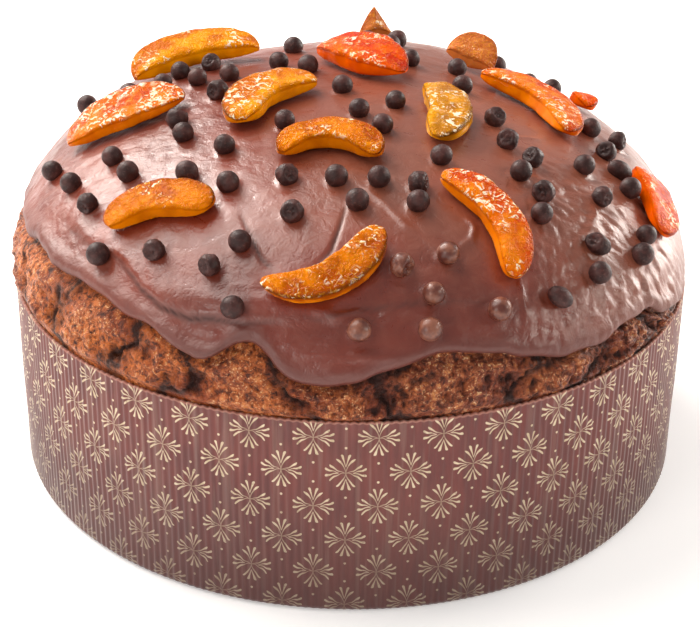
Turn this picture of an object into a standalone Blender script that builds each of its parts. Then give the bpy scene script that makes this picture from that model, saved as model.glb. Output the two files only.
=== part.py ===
"""A low chocolate panettone in its paper baking case, glazed, with chocolate pearls and candied orange on top.

Lengths are in metres and +Z is up. The origin is the middle of the case's foot, and the front faces -Y.
"""
import math

import bmesh
import bpy
from mathutils import Vector

# The paper case: a nearly straight cup with a rolled foot.
RIM_RADIUS = 0.1075
FOOT_RADIUS = 0.1072
CASE_HEIGHT = 0.065
PAPER = 0.001
FOOT_ROUNDING = 0.002
CASE_STEPS = 64

# The dome, as the outside of the glaze. It is measured from the middle of the case's rim.
DOME_MIDDLE = Vector((0, 0, CASE_HEIGHT))
DOME_RADIUS = 0.1105
DOME_RISE = 0.055
DOME_POWER = 2.32
# Soft lumps and hollows: azimuth from +X, elevation, height.
LUMPS = (
    (180, 20, -0.0028),
    (150, 35, 0.0032),
    (120, 40, -0.0024),
    (90, 40, 0.0014),
    (60, 40, 0.0011),
    (30, 35, -0.0039),
    (0, 20, -0.0060),
)
LUMP_WIDTH = math.radians(24)

# The glaze is a skin. Its lower edge hangs in broad tongues: azimuth, height, width in degrees.
GLAZE = 0.0024
EDGE_HEIGHT = 0.017
TONGUES = (
    (-146, 0.0085, 22),
    (-111, -0.0020, 5),
    (-94, -0.0060, 8),
    (-77, 0.0040, 8),
    (-57, -0.0045, 9),
    (-21, -0.0100, 12),
    (30, 0.0030, 14),
    (70, -0.0060, 10),
    (108, 0.0040, 12),
    (140, -0.0050, 10),
    (178, -0.0030, 8),
)
GLAZE_STEPS = 56
GLAZE_RINGS = 12

# The loaf stands clear of the paper and of the glaze, and its bare band above the rim is folded into lobes.
GAP = 0.0004
UNDER_GLAZE = GLAZE + 0.0011
CRUST_DEPTH = 0.0002
FOLDS = (-171, -158, -142, -127, -116, -99, -83, -62, -49, -35, -22, -6, 14, 31, 52, 77, 96, 121, 143, 162)
FOLD_DEPTH = 0.0030
FOLD_WIDTH = 3.6
LOAF_STEPS = 90
BAND_RINGS = 5
TOP_RINGS = 8
EDGE_MARK = 12

# Chocolate pearls that lie in the glaze, by their places seen from above, in millimetres.
PEARL_RADIUS = 0.0035
PEARL_SUNK = 0.0013
PEARL_SPACE = 0.0074
PEARLS_LEFT = (
    (-91, -17), (-83, -33), (-76, -48), (-71, -29), (-65, -41), (-70, -67), (-54, -75), (-38, -84),
    (-30, -79), (-31, -95), (-47, -49), (-35, -57), (-37, -38), (-50, -27), (-53, -15), (-49, -2),
    (-36, 2), (-60, 14), (-69, 20), (-49, 12), (-39, 12), (-46, 27), (-57, 26), (-86, 27), (-80, 26),
)
PEARLS_MIDDLE = (
    (-20, -26), (-18, -56), (-16, -71), (-4, -1), (2, -19), (9, -29), (13, -12), (-4, -57), (8, -57),
    (2, -67), (21, -58), (19, -66), (26, -43), (-10, 24), (-20, 44), (-24, 22), (-28, 29), (-30, 40),
    (18, 27), (12, 42), (14, 50), (4, 48), (14, -87), (27, -82), (23, -93), (22, -100), (3, -102),
)
PEARLS_RIGHT = (
    (43, -15), (46, -29), (53, -36), (49, -45), (55, -52), (54, -61), (69, -29), (78, -8), (81, -19),
    (75, 9), (84, 11), (33, 27), (34, 9), (47, 44), (52, 47), (73, -43), (90, -25), (87, -45),
    (84, -55), (70, -63), (70, -71), (58, -83), (41, -92), (70, 40),
)
PEARLS_BEHIND = (
    (-73, 71), (-66, 79), (-48, 88), (-41, 94), (-25, 97), (-7, 102), (2, 98), (22, 100), (37, 94),
    (46, 91), (61, 81),
)

# Candied orange: place from above in mm, heading in the surface, length, bend, width, thickness in mm, lean.
ORANGE = (
    (-53, 34, 16, 44, -50, 12, 7, 25),
    (-71, -3, 6, 40, -20, 18, 6, 10),
    (-28, -9, 50, 39, -100, 13, 7, 5),
    (-6, -37, -3, 38, -160, 10, 7, 0),
    (3, 21, -42, 36, -20, 17, 8, 10),
    (7, 57, 20, 12, -30, 8, 6, 60),
    (38, 38, -30, 18, -60, 10, 6, 40),
    (29, -18, -88, 39, -60, 13, 7, 0),
    (60, 13, -52, 48, -100, 12.5, 7, 5),
    (75, 37, -70, 11, -50, 8, 5, 10),
    (42, -68, -60, 43, -84, 10.5, 7, 0),
    (-4, -92, 27, 41, 100, 10, 7, 0),
    (-54, -59, -3, 35, -95, 12, 7, 0),
    (92, -24, -85, 33, -30, 13, 6, 0),
)
ORANGE_STEPS = 11
ORANGE_SIDES = 7
ORANGE_GAP = 0.0005
BLUNTNESS = 3.4

MM = 0.001


def main():
    for old in list(bpy.data.objects):
        bpy.data.objects.remove(old, do_unlink=True)
    parts = bpy.data.collections.new("panettone")
    pearls = bpy.data.collections.new("pearls")
    bpy.context.scene.collection.children.link(parts)
    bpy.context.scene.collection.children.link(pearls)

    paper = material("printed_paper", (0.26, 0.11, 0.10), 0.75)
    crust = material("chocolate_crust", (0.22, 0.08, 0.03), 0.8)
    chocolate = material("milk_chocolate", (0.32, 0.16, 0.12), 0.35)
    peel = material("candied_orange", (0.90, 0.30, 0.03), 0.2)

    make_case(parts, paper)
    make_loaf(parts, crust)
    make_glaze(parts, pearls, chocolate)
    for number, piece in enumerate(ORANGE, 1):
        make_orange(parts, f"orange_{number:02d}", piece, peel)
    bpy.data.collections.remove(pearls)


def material(name, colour, roughness):
    made = bpy.data.materials.new(name)
    made.use_nodes = True
    shader = made.node_tree.nodes["Principled BSDF"]
    shader.inputs["Base Color"].default_value = (*colour, 1)
    shader.inputs["Roughness"].default_value = roughness
    shader.inputs["Metallic"].default_value = 0
    return made


def toward(azimuth, elevation):
    """The unit vector at this azimuth and elevation, in radians."""
    flat = math.cos(elevation)
    return Vector((math.cos(azimuth) * flat, math.sin(azimuth) * flat, math.sin(elevation)))


LUMP_AXES = [(toward(math.radians(a), math.radians(e)), height) for a, e, height in LUMPS]


def dome_reach(direction):
    """How far the glaze's outer face lies from the middle of the rim, in a unit direction."""
    across = math.hypot(direction.x, direction.y) / DOME_RADIUS
    up = abs(direction.z) / DOME_RISE
    reach = (across ** DOME_POWER + up ** DOME_POWER) ** (-1 / DOME_POWER)
    for axis, height in LUMP_AXES:
        reach += height * math.exp(-(direction.angle(axis) / LUMP_WIDTH) ** 2)
    return reach


def dome_point(direction):
    return DOME_MIDDLE + direction * dome_reach(direction)


def dome_normal(direction):
    """The outward normal of the dome, from two short steps along it."""
    side = direction.orthogonal().normalized()
    other = direction.cross(side)
    step = 0.02
    here = dome_point(direction)
    one = dome_point((direction + side * step).normalized()) - here
    two = dome_point((direction + other * step).normalized()) - here
    return one.cross(two).normalized()


def seen_from_above(x, y):
    """The direction in which the dome has this place from above."""
    low, high = 0.0, math.pi / 2
    azimuth = math.atan2(y, x)
    for _ in range(30):
        middle = (low + high) / 2
        direction = toward(azimuth, middle)
        if dome_reach(direction) * math.cos(middle) > math.hypot(x, y):
            low = middle
        else:
            high = middle
    return toward(azimuth, low)


def turn_between(one, other):
    """The least turn between two azimuths in degrees."""
    return abs((one - other + 180) % 360 - 180)


def edge_elevation(azimuth):
    """The elevation of the glaze's lower edge."""
    height = EDGE_HEIGHT
    for middle, change, width in TONGUES:
        height += change * math.exp(-(turn_between(math.degrees(azimuth), middle) / width) ** 2)
    return math.atan2(height, DOME_RADIUS)


def turned(name, profile, steps, closed=False):
    """A mesh object turned from a profile of (radius, height) points, given down its outer side."""
    mesh = bpy.data.meshes.new(name)
    edges = [(k, k + 1) for k in range(len(profile) - 1)]
    if closed:
        edges.append((len(profile) - 1, 0))
    mesh.from_pydata([(radius, 0, height) for radius, height in profile], edges, [])
    made = bpy.data.objects.new(name, mesh)
    bpy.context.scene.collection.objects.link(made)
    screw = made.modifiers.new("turn", "SCREW")
    screw.steps = steps
    screw.render_steps = steps
    screw.use_merge_vertices = True
    screw.merge_threshold = 0.00005
    apply_modifiers(made)
    return made


def apply_modifiers(made):
    """Gives the object the mesh that its modifiers make, and takes them off."""
    graph = bpy.context.evaluated_depsgraph_get()
    mesh = bpy.data.meshes.new_from_object(made.evaluated_get(graph))
    old = made.data
    made.modifiers.clear()
    made.data = mesh
    bpy.data.meshes.remove(old)


def finish(made, collection, finish_material):
    """Puts the object in its collection with its material, shaded smooth."""
    for other in list(made.users_collection):
        other.objects.unlink(made)
    collection.objects.link(made)
    made.data.materials.clear()
    made.data.materials.append(finish_material)
    made.data.shade_smooth()
    made.data.set_sharp_from_angle(angle=math.radians(50))


def make_case(parts, paper):
    inner_rim = RIM_RADIUS - PAPER
    inner_foot = FOOT_RADIUS - PAPER
    profile = [
        (RIM_RADIUS, CASE_HEIGHT),
        (RIM_RADIUS, CASE_HEIGHT / 2),
        (FOOT_RADIUS, FOOT_ROUNDING),
        (FOOT_RADIUS - FOOT_ROUNDING / 2, FOOT_ROUNDING / 4),
        (FOOT_RADIUS - FOOT_ROUNDING, 0),
        (0, 0),
        (0, PAPER),
        (inner_foot - FOOT_ROUNDING, PAPER),
        (inner_foot, PAPER + FOOT_ROUNDING),
        (inner_rim, CASE_HEIGHT / 2),
        (inner_rim, CASE_HEIGHT),
    ]
    case = turned("paper_case", profile, CASE_STEPS, closed=True)
    finish(case, parts, paper)


def fold_depth(azimuth):
    """How deep the dark folds between the lobes of dough are at this azimuth."""
    nearest = min(turn_between(math.degrees(azimuth), fold) for fold in FOLDS)
    return FOLD_DEPTH * math.exp(-(nearest / FOLD_WIDTH) ** 2)


def loaf_point(azimuth, mark):
    """The loaf's surface above the rim. Below EDGE_MARK it is the bare band, and above it the glazed top."""
    edge = edge_elevation(azimuth)
    if mark > EDGE_MARK:
        share = (mark - EDGE_MARK) / (90 - EDGE_MARK)
        direction = toward(azimuth, edge + share * (math.pi / 2 - edge))
        return dome_point(direction) - dome_normal(direction) * UNDER_GLAZE
    share = mark / EDGE_MARK
    swell = math.sin(math.pi * min(1, share * 1.1))
    direction = toward(azimuth, edge * share)
    widest = dome_reach(direction) - CRUST_DEPTH - fold_depth(azimuth) * swell
    at_rim = RIM_RADIUS - PAPER - GAP
    tucked = dome_reach(direction) - UNDER_GLAZE
    start = at_rim + (tucked - at_rim) * share
    return DOME_MIDDLE + direction * (start + (widest - start) * min(1, 1.6 * swell))


def make_loaf(parts, crust):
    wall = RIM_RADIUS - PAPER - GAP
    foot = FOOT_RADIUS - PAPER - GAP
    floor = PAPER + GAP
    marks = [90 - (90 - EDGE_MARK) * k / TOP_RINGS for k in range(TOP_RINGS)]
    marks += [EDGE_MARK * (1 - k / BAND_RINGS) for k in range(BAND_RINGS)]
    ball = 0.1
    profile = [(ball * math.cos(math.radians(m)), CASE_HEIGHT + ball * math.sin(math.radians(m))) for m in marks]
    profile[0] = (0, CASE_HEIGHT + ball)
    profile += [
        (wall, CASE_HEIGHT + GAP),
        (foot, floor + FOOT_ROUNDING * 1.5),
        (foot - FOOT_ROUNDING * 1.5, floor),
        (0, floor),
    ]
    loaf = turned("loaf", profile, LOAF_STEPS)
    for vertex in loaf.data.vertices:
        place = vertex.co - DOME_MIDDLE
        if place.z > 2 * GAP:
            across = math.hypot(place.x, place.y)
            mark = math.degrees(math.atan2(place.z, across))
            vertex.co = loaf_point(math.atan2(place.y, place.x), mark)
    finish(loaf, parts, crust)


def make_glaze(parts, pearls, chocolate):
    ball = 0.1
    turns = [math.pi / 2 * (1 - k / GLAZE_RINGS) for k in range(GLAZE_RINGS + 1)]
    profile = [(ball * math.cos(turn), CASE_HEIGHT + ball * math.sin(turn)) for turn in turns]
    profile[0] = (0, CASE_HEIGHT + ball)
    glaze = turned("glaze", profile, GLAZE_STEPS)
    for vertex in glaze.data.vertices:
        place = vertex.co - DOME_MIDDLE
        azimuth = math.atan2(place.y, place.x)
        share = math.atan2(place.z, math.hypot(place.x, place.y)) / (math.pi / 2)
        edge = edge_elevation(azimuth)
        vertex.co = dome_point(toward(azimuth, edge + share * (math.pi / 2 - edge)))
    skin = glaze.modifiers.new("skin", "SOLIDIFY")
    skin.thickness = GLAZE
    skin.offset = -1
    apply_modifiers(glaze)

    for place in pearl_places():
        make_pearl(pearls, place, chocolate)
    join = glaze.modifiers.new("pearls", "BOOLEAN")
    join.operation = "UNION"
    join.operand_type = "COLLECTION"
    join.collection = pearls
    apply_modifiers(glaze)
    for pearl in list(pearls.objects):
        bpy.data.objects.remove(pearl, do_unlink=True)
    finish(glaze, parts, chocolate)


def make_pearl(pearls, direction, chocolate):
    mesh = bpy.data.meshes.new("pearl")
    ball = bmesh.new()
    bmesh.ops.create_uvsphere(ball, u_segments=6, v_segments=4, radius=PEARL_RADIUS)
    ball.to_mesh(mesh)
    ball.free()
    normal = dome_normal(direction)
    pearl = bpy.data.objects.new("pearl", mesh)
    pearl.location = dome_point(direction) + normal * (PEARL_RADIUS - PEARL_SUNK)
    pearl.rotation_mode = "QUATERNION"
    pearl.rotation_quaternion = normal.to_track_quat("Z", "Y")
    pearl.display_type = "WIRE"
    pearl.hide_render = True
    pearl.data.materials.append(chocolate)
    pearls.objects.link(pearl)


def pearl_places():
    """The pearls' directions, each clear of the orange and of the pearls before it."""
    lines = [(orange_line(piece), piece[5] * MM / 2) for piece in ORANGE]
    kept = []
    for x, y in PEARLS_LEFT + PEARLS_MIDDLE + PEARLS_RIGHT + PEARLS_BEHIND:
        direction = clear_of_orange(seen_from_above(x * MM, y * MM), lines)
        here = dome_point(direction)
        if all((dome_point(other) - here).length > PEARL_SPACE for other in kept):
            kept.append(direction)
    return kept


def clear_of_orange(direction, lines):
    """Moves a pearl along the dome until it lies beside every piece of orange."""
    for _ in range(12):
        here = dome_point(direction)
        for line, half in lines:
            nearest = min(line, key=lambda point: (point - here).length)
            apart_by = (here - nearest).length
            needed = half + PEARL_RADIUS + 0.0012
            if apart_by < needed:
                away = (here - nearest).normalized()
                here = nearest + away * (needed + 0.0002)
        moved = (here - DOME_MIDDLE).normalized()
        if (moved - direction).length < 0.0005:
            return moved
        direction = moved
    return direction


def surface_frame(direction):
    """The dome's point, its level tangent toward +X, the tangent up the slope, and the normal."""
    normal = dome_normal(direction)
    right = (Vector((1, 0, 0)) - normal * normal.x).normalized()
    return dome_point(direction), right, normal.cross(right), normal


def bent(piece, along, across):
    """Where a place along (-1 to 1) and across (metres) a bent piece lies in the plane it is bent in."""
    length, bend = piece[3] * MM, math.radians(piece[4])
    radius = length / bend
    turn = along * bend / 2
    return (radius - across) * math.sin(turn), radius - (radius - across) * math.cos(turn)


def on_piece(piece, along, across, lift):
    """The place on the dome of a point of a piece, lifted off the glaze."""
    start = seen_from_above(piece[0] * MM, piece[1] * MM)
    point, right, up, _ = surface_frame(start)
    heading = math.radians(piece[2])
    ahead = right * math.cos(heading) + up * math.sin(heading)
    left = up * math.cos(heading) - right * math.sin(heading)
    u, v = bent(piece, along, across)
    direction = (point + ahead * u + left * v - DOME_MIDDLE).normalized()
    return dome_point(direction) + dome_normal(direction) * lift


def orange_line(piece):
    return [on_piece(piece, k / 10, 0, 0) for k in range(-8, 9)]


def make_orange(parts, name, piece, peel):
    """A bent slice with a flat underside and blunt ends, laid on the glaze. A lean lifts its far edge."""
    width, thickness, lean = piece[5] * MM, piece[6] * MM, math.radians(piece[7])
    made = bmesh.new()
    bmesh.ops.create_uvsphere(made, u_segments=ORANGE_SIDES, v_segments=ORANGE_STEPS, radius=1)
    for vertex in made.verts:
        along = vertex.co.z
        ring = math.hypot(vertex.co.x, vertex.co.y)
        side, height = (vertex.co.x / ring, vertex.co.y / ring) if ring > 0.001 else (0, 0)
        blunt = (1 - abs(along) ** BLUNTNESS) ** 0.5
        below = thickness * 0.4
        above = thickness * 0.6
        across = side * width / 2 * blunt
        lift = below + (height * above if height > 0 else height * below) * blunt
        swung = across * math.cos(lean)
        raised = lift + max(0, (across + width / 2) * math.sin(lean) * blunt)
        vertex.co = on_piece(piece, along * 0.985, swung, raised + ORANGE_GAP)
    mesh = bpy.data.meshes.new(name)
    if made.calc_volume(signed=True) < 0:
        bmesh.ops.reverse_faces(made, faces=made.faces)
    made.to_mesh(mesh)
    made.free()
    slice_object = bpy.data.objects.new(name, mesh)
    bpy.context.scene.collection.objects.link(slice_object)
    finish(slice_object, parts, peel)


main()
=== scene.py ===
"""The looks of a low chocolate panettone: printed case, baked crust, glaze, pearls and candied orange.

Lengths are in metres unless a name says otherwise, in the frame of the solids: +Z up, front towards -Y.
"""
import math
import random

import bpy
import numpy as np
from mathutils import Matrix, Vector, noise

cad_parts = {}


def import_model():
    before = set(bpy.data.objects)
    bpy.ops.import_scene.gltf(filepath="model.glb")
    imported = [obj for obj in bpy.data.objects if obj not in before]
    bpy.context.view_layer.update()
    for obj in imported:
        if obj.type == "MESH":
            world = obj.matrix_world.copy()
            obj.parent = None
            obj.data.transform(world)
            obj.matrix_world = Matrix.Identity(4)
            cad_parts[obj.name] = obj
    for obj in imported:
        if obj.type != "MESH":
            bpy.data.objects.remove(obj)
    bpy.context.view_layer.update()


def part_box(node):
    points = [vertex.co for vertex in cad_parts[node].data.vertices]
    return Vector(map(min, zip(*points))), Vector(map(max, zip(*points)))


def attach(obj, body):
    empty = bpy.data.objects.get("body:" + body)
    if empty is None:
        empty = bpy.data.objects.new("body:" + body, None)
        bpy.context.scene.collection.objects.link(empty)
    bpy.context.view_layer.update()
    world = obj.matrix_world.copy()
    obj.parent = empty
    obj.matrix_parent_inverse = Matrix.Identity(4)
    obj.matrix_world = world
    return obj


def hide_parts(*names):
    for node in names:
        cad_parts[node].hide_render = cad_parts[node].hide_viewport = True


MM = 0.001
QUARTER = math.pi / 2

# The case, as in the solids, and the flutes and wavy rim of its paper.
RIM_RADIUS = 0.1075
FOOT_RADIUS = 0.1072
CASE_HEIGHT = 0.065
PAPER = 0.001
FOOT_ROUNDING = 0.002
FLUTES = 296
FLUTE_STEPS = 6
FLUTE_DEPTH = 0.00035
RIM_TEETH = 0.00055
RIM_DIP = 0.0012
# Rings around the axis begin at this radius, and a flat face closes the hole inside them.
MIDDLE_RADIUS = 0.002

# The printed lattice: columns around, height of one full period, and one row that has a column in front.
COLUMNS = 37
COLUMN_PITCH_MM = 2 * math.pi * RIM_RADIUS / COLUMNS / MM
PERIOD_MM = 22.7
FRONT_ROW_MM = 48.4
ORNAMENT_MM = 6.0
DOT_FROM_CENTRE_MM = 8.2
DOT_MM = 0.38

# The dome, as the outside of the glaze, measured from the middle of the case's rim.
DOME_MIDDLE = np.array((0, 0, CASE_HEIGHT))
DOME_RADIUS = 0.1105
DOME_RISE = 0.055
DOME_POWER = 2.32
LUMPS = (
    (180, 20, -0.0028),
    (150, 35, 0.0032),
    (120, 40, -0.0024),
    (90, 40, 0.0014),
    (60, 40, 0.0011),
    (30, 35, -0.0039),
    (0, 20, -0.0060),
)
LUMP_WIDTH = math.radians(24)

# The glaze's thickness.
GLAZE = 0.0024
# Its lower edge all the way round: azimuth in degrees and height above the foot in mm.
EDGE_MARKS = (
    (-169, 85), (-159, 87), (-151, 89), (-140, 89), (-133, 89), (-128, 87), (-122, 85.5), (-118.5, 83),
    (-115, 81.2), (-111.6, 79.4), (-108.8, 84.5), (-105.6, 87.5), (-103, 86.5), (-99, 79), (-95, 76.5),
    (-91, 77), (-83, 82.5), (-75, 85.6), (-67, 82.7), (-57, 77), (-43, 78.4), (-35, 79.4),
    (-26, 70), (-18, 69), (-8, 76), (5, 81), (20, 84), (35, 85), (52, 81), (70, 76),
    (86, 79), (104, 86), (120, 84), (138, 78), (155, 81), (174, 83),
)
EDGE_SOFTNESS = 1.4
# Small drips: azimuth, change of height in mm, width in degrees.
DRIPS = (
    (-157, 1.2, 3),
    (-148, -1.4, 2),
    (-88, -1.0, 2),
    (-66, 1.0, 2),
    (-48, -1.0, 3),
    (-31, -1.6, 2.5),
    (12, -2.0, 4),
    (52, 1.6, 5),
    (88, -2.2, 4),
    (126, 1.6, 4),
    (160, -1.8, 4),
)
GLAZE_GRID = 284
LIP_RINGS = 5
UNDER_RINGS = 6
LIP_WIDTH = 0.0022
LIP_DEPTH = 0.0013
LIP_SWELL = 0.0005
LIP_TUCK = 0.0012
UNDERSIDE_EXTRA = 0.0006

# The crust band between rim and glaze, folded into lobes.
GAP = 0.0004
UNDER_GLAZE = GLAZE + 0.0011
CRUST_DEPTH = 0.0002
FOLDS = (
    -171, -158, -142, -127, -116, -99, -83, -62, -49, -35,
    -22, -6, 14, 31, 52, 77, 96, 121, 143, 162,
)
FOLD_DEPTH = 0.0030
FOLD_WIDTH = 3.9
CREVICE_DEPTH = 0.0014
CREVICE_WIDTH = 0.55
CRUST_STEPS = 1300
CRUST_RINGS = 44
# The band's rings run from this share of the way between rim and glaze, over this share of it.
BAND_START = -0.18
BAND_LENGTH = 1.36
# In the case the crust has a rounded foot and a smooth side up to this height.
CRUST_ROUNDING = 0.004
SIDE_INSET = 0.0006
SIDE_TOP = 0.058

# The pearls, by their places seen from above, in millimetres.
PEARL_RADIUS = 0.0035
PEARL_SUNK = 0.0013
PEARL_SPACE = 0.0074
PEARL_CLEARANCE = 0.0012
PEARLS_LEFT = (
    (-91, -17), (-83, -33), (-76, -48), (-71, -29), (-65, -41), (-70, -67), (-54, -75), (-38, -84),
    (-30, -79), (-31, -95), (-47, -49), (-35, -57), (-37, -38), (-50, -27), (-53, -15), (-49, -2),
    (-36, 2), (-60, 14), (-69, 20), (-49, 12), (-39, 12), (-46, 27), (-57, 26), (-86, 27), (-80, 26),
)
PEARLS_MIDDLE = (
    (-20, -26), (-18, -56), (-16, -71), (-4, -1), (2, -19), (9, -29), (13, -12), (-4, -57), (8, -57),
    (2, -67), (21, -58), (19, -66), (26, -43), (-10, 24), (-20, 44), (-24, 22), (-28, 29), (-30, 40),
    (18, 27), (12, 42), (14, 50), (4, 48), (14, -87), (27, -82), (23, -93), (22, -100), (3, -102),
)
PEARLS_RIGHT = (
    (43, -15), (46, -29), (53, -36), (49, -45), (55, -52), (54, -61), (69, -29), (78, -8), (81, -19),
    (75, 9), (84, 11), (33, 27), (34, 9), (47, 44), (52, 47), (73, -43), (90, -25), (87, -45),
    (84, -55), (70, -63), (70, -71), (58, -83), (41, -92), (70, 40),
)
PEARLS_BEHIND = (
    (-73, 71), (-66, 79), (-48, 88), (-41, 94), (-25, 97), (-7, 102), (2, 98), (22, 100), (37, 94),
    (46, 91), (61, 81),
)
# Some pearls are coated with glaze, some are chipped, and some are pressed long.
COATED = ((14, -87), (27, -82), (23, -93), (22, -100), (3, -102), (41, -92))
CHIPPED = (
    (-76, -48), (-54, -75), (-38, -84), (-18, -56), (-16, -71), (21, -58), (55, -52), (73, -43), (84, 11),
)
PRESSED = ((70, -63), (58, -83), (81, -19))
MARK_REACH_MM = 2.5
CHIPPED_SHARE = 0.15
PEARL_SEED = 11

# Candied orange: place from above, heading in the surface, length, bend, width, thickness and lean.
# Lengths are in mm and angles in degrees.
ORANGE = (
    (-53, 34, 16, 44, -50, 12, 7, 25),
    (-71, -3, 6, 40, -20, 18, 6, 10),
    (-28, -9, 50, 39, -100, 13, 7, 5),
    (-6, -37, -3, 38, -160, 10, 7, 0),
    (3, 21, -42, 36, -20, 17, 8, 10),
    (7, 57, 20, 12, -30, 8, 6, 60),
    (38, 38, -30, 18, -60, 10, 6, 40),
    (29, -18, -88, 39, -60, 13, 7, 0),
    (60, 13, -52, 48, -100, 12.5, 7, 5),
    (75, 37, -70, 11, -50, 8, 5, 10),
    (42, -68, -60, 43, -84, 10.5, 7, 0),
    (-4, -92, 27, 41, 100, 10, 7, 0),
    (-54, -59, -3, 35, -95, 12, 7, 0),
    (92, -24, -85, 33, -30, 13, 6, 0),
)
# Each slice's look: tone, share of its top with sugar and painted glints, bluntness of its ends, taper
# along it, peak.
ORANGE_LOOKS = (
    ("amber", 0.50, 3.6, 0.00, 0),
    ("orange", 0.85, 2.2, 0.05, 0),
    ("amber", 0.70, 3.8, -0.12, 0),
    ("dark_amber", 0.35, 3.6, 0.12, 0),
    ("red_orange", 0.45, 2.1, 0.05, 0),
    ("peach", 0.20, 1.8, 0.00, 0.8),
    ("peach", 0.20, 2.4, 0.00, 0),
    ("honey", 0.60, 2.8, 0.00, 0),
    ("orange", 0.60, 4.0, 0.05, 0),
    ("red_orange", 0.10, 2.2, 0.00, 0),
    ("orange", 0.60, 4.0, 0.00, 0),
    ("dark_amber", 0.45, 2.6, 0.20, 0),
    ("dark_amber", 0.25, 3.2, 0.10, 0),
    ("red_orange", 0.35, 3.0, 0.00, 0),
)
ORANGE_ALONG = 90
ORANGE_AROUND = 44
ORANGE_GAP = 0.0004
ORANGE_END = 0.985
BELOW_SHARE = 0.4
ABOVE_SHARE = 0.55
SQUARENESS = 4.0

# The camera stands where the photograph was taken from.
CAMERA_TARGET = Vector((0, 0, 0.0414))
CAMERA_DISTANCE = 0.6236
CAMERA_ELEVATION = 0.4911
CAMERA_AZIMUTH = 0.0055
CAMERA_ROLL = 0.0131
CAMERA_LENS_MM = 96.98

FLOOR_SIZE = 6
FLOOR_GLOW = 0.28
WORLD_LIGHT = 0.44


def main():
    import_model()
    scene = bpy.context.scene
    scene.view_settings.view_transform = "Standard"

    make_case()
    make_crust()
    pearls = pearl_places()
    make_glaze(pearls)
    make_pearls(pearls)
    make_slices()

    make_floor()
    make_lights()
    scene.camera = make_camera()


# Shape of the dome and places on it


def toward(azimuth, elevation):
    """Unit vectors at these azimuths and elevations, in radians."""
    flat = np.cos(elevation)
    return np.stack((np.cos(azimuth) * flat, np.sin(azimuth) * flat, np.sin(elevation)), axis=-1)


def unit(vectors):
    return vectors / np.linalg.norm(vectors, axis=-1, keepdims=True)


LUMP_AXES = [(toward(math.radians(a), math.radians(e)), height) for a, e, height in LUMPS]


def dome_reach(directions):
    """How far the glaze's outer face lies from the middle of the rim, in unit directions."""
    across = np.hypot(directions[..., 0], directions[..., 1]) / DOME_RADIUS
    up = np.abs(directions[..., 2]) / DOME_RISE
    reach = (across ** DOME_POWER + up ** DOME_POWER) ** (-1 / DOME_POWER)
    for axis, height in LUMP_AXES:
        turn = np.arccos(np.clip(directions @ axis, -1, 1))
        reach = reach + height * np.exp(-(turn / LUMP_WIDTH) ** 2)
    return reach


def dome_point(directions):
    return DOME_MIDDLE + directions * dome_reach(directions)[..., None]


def dome_normal(directions):
    """Outward normals of the dome, from two short steps along it."""
    helper = np.where(np.abs(directions[..., 2:3]) < 0.9, (0.0, 0.0, 1.0), (1.0, 0.0, 0.0))
    side = unit(np.cross(directions, helper))
    other = np.cross(directions, side)
    here = dome_point(directions)
    one = dome_point(unit(directions + side * 0.02)) - here
    two = dome_point(unit(directions + other * 0.02)) - here
    return unit(np.cross(one, two))


def seen_from_above(x, y):
    """The direction in which the dome has this place from above."""
    low, high = 0.0, QUARTER
    azimuth = math.atan2(y, x)
    for _ in range(30):
        middle = (low + high) / 2
        direction = toward(azimuth, middle)
        if dome_reach(direction) * math.cos(middle) > math.hypot(x, y):
            low = middle
        else:
            high = middle
    return toward(azimuth, low)


def turn_between(one, other):
    """The least turn between azimuths in degrees."""
    return np.abs((one - other + 180) % 360 - 180)


def edge_elevation(azimuth):
    """The elevation of the glaze's lower edge."""
    degrees = np.degrees(azimuth)
    marks = np.array(EDGE_MARKS, dtype=float)
    height = np.zeros(np.shape(azimuth))
    for shift in (-EDGE_SOFTNESS, 0, EDGE_SOFTNESS):
        height = height + np.interp(degrees + shift, marks[:, 0], marks[:, 1], period=360) / 3
    for middle, change, width in DRIPS:
        height = height + change * np.exp(-(turn_between(degrees, middle) / width) ** 2)
    height = (
        height + 0.35 * np.sin(np.radians(degrees * 23)) + 0.25 * np.sin(np.radians(degrees * 41 + 50))
    )
    return np.arctan2(height * MM - CASE_HEIGHT, DOME_RADIUS)


def rough(points, size, octaves=2, seed=0):
    """Smooth noise of about -1 to 1 at each point, in lumps of this size, or of these along X, Y, Z."""
    scaled = np.asarray(points) / np.asarray(size) + seed * 7.31
    return np.array([noise.fractal(Vector(place), 1.0, 2.0, octaves) for place in scaled])


def smooth_step(value, low, high):
    share = np.clip((value - low) / (high - low), 0, 1)
    return share * share * (3 - 2 * share)


# Meshes


def ring_faces(rows, columns):
    """Quads between closed rings of vertices that rise from row to row."""
    index = np.arange(rows * columns).reshape(rows, columns)
    along = np.roll(index, -1, axis=1)
    return np.stack((index[:-1], along[:-1], along[1:], index[1:]), axis=-1).reshape(-1, 4).tolist()


def capped(faces, rows, columns):
    """The faces of a tube of rings, with a flat face at both ends."""
    faces.append(list(range(columns))[::-1])
    faces.append(list(range((rows - 1) * columns, rows * columns)))
    return faces


def add_piece(name, points, faces, material, slot, nodes, **attributes):
    """A smooth mesh piece that rides on the body and stands for these nodes of the solids."""
    mesh = bpy.data.meshes.new(name)
    mesh.from_pydata(np.asarray(points).tolist(), [], faces)
    mesh.shade_smooth()
    mesh.materials.append(material)
    for key, values in attributes.items():
        layer = mesh.attributes.new(key, "FLOAT", "POINT")
        layer.data.foreach_set("value", np.asarray(values, dtype=np.float32).ravel())
    piece = bpy.data.objects.new(name, mesh)
    bpy.context.scene.collection.objects.link(piece)
    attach(piece, "root")
    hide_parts(*nodes)


# Node trees


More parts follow.
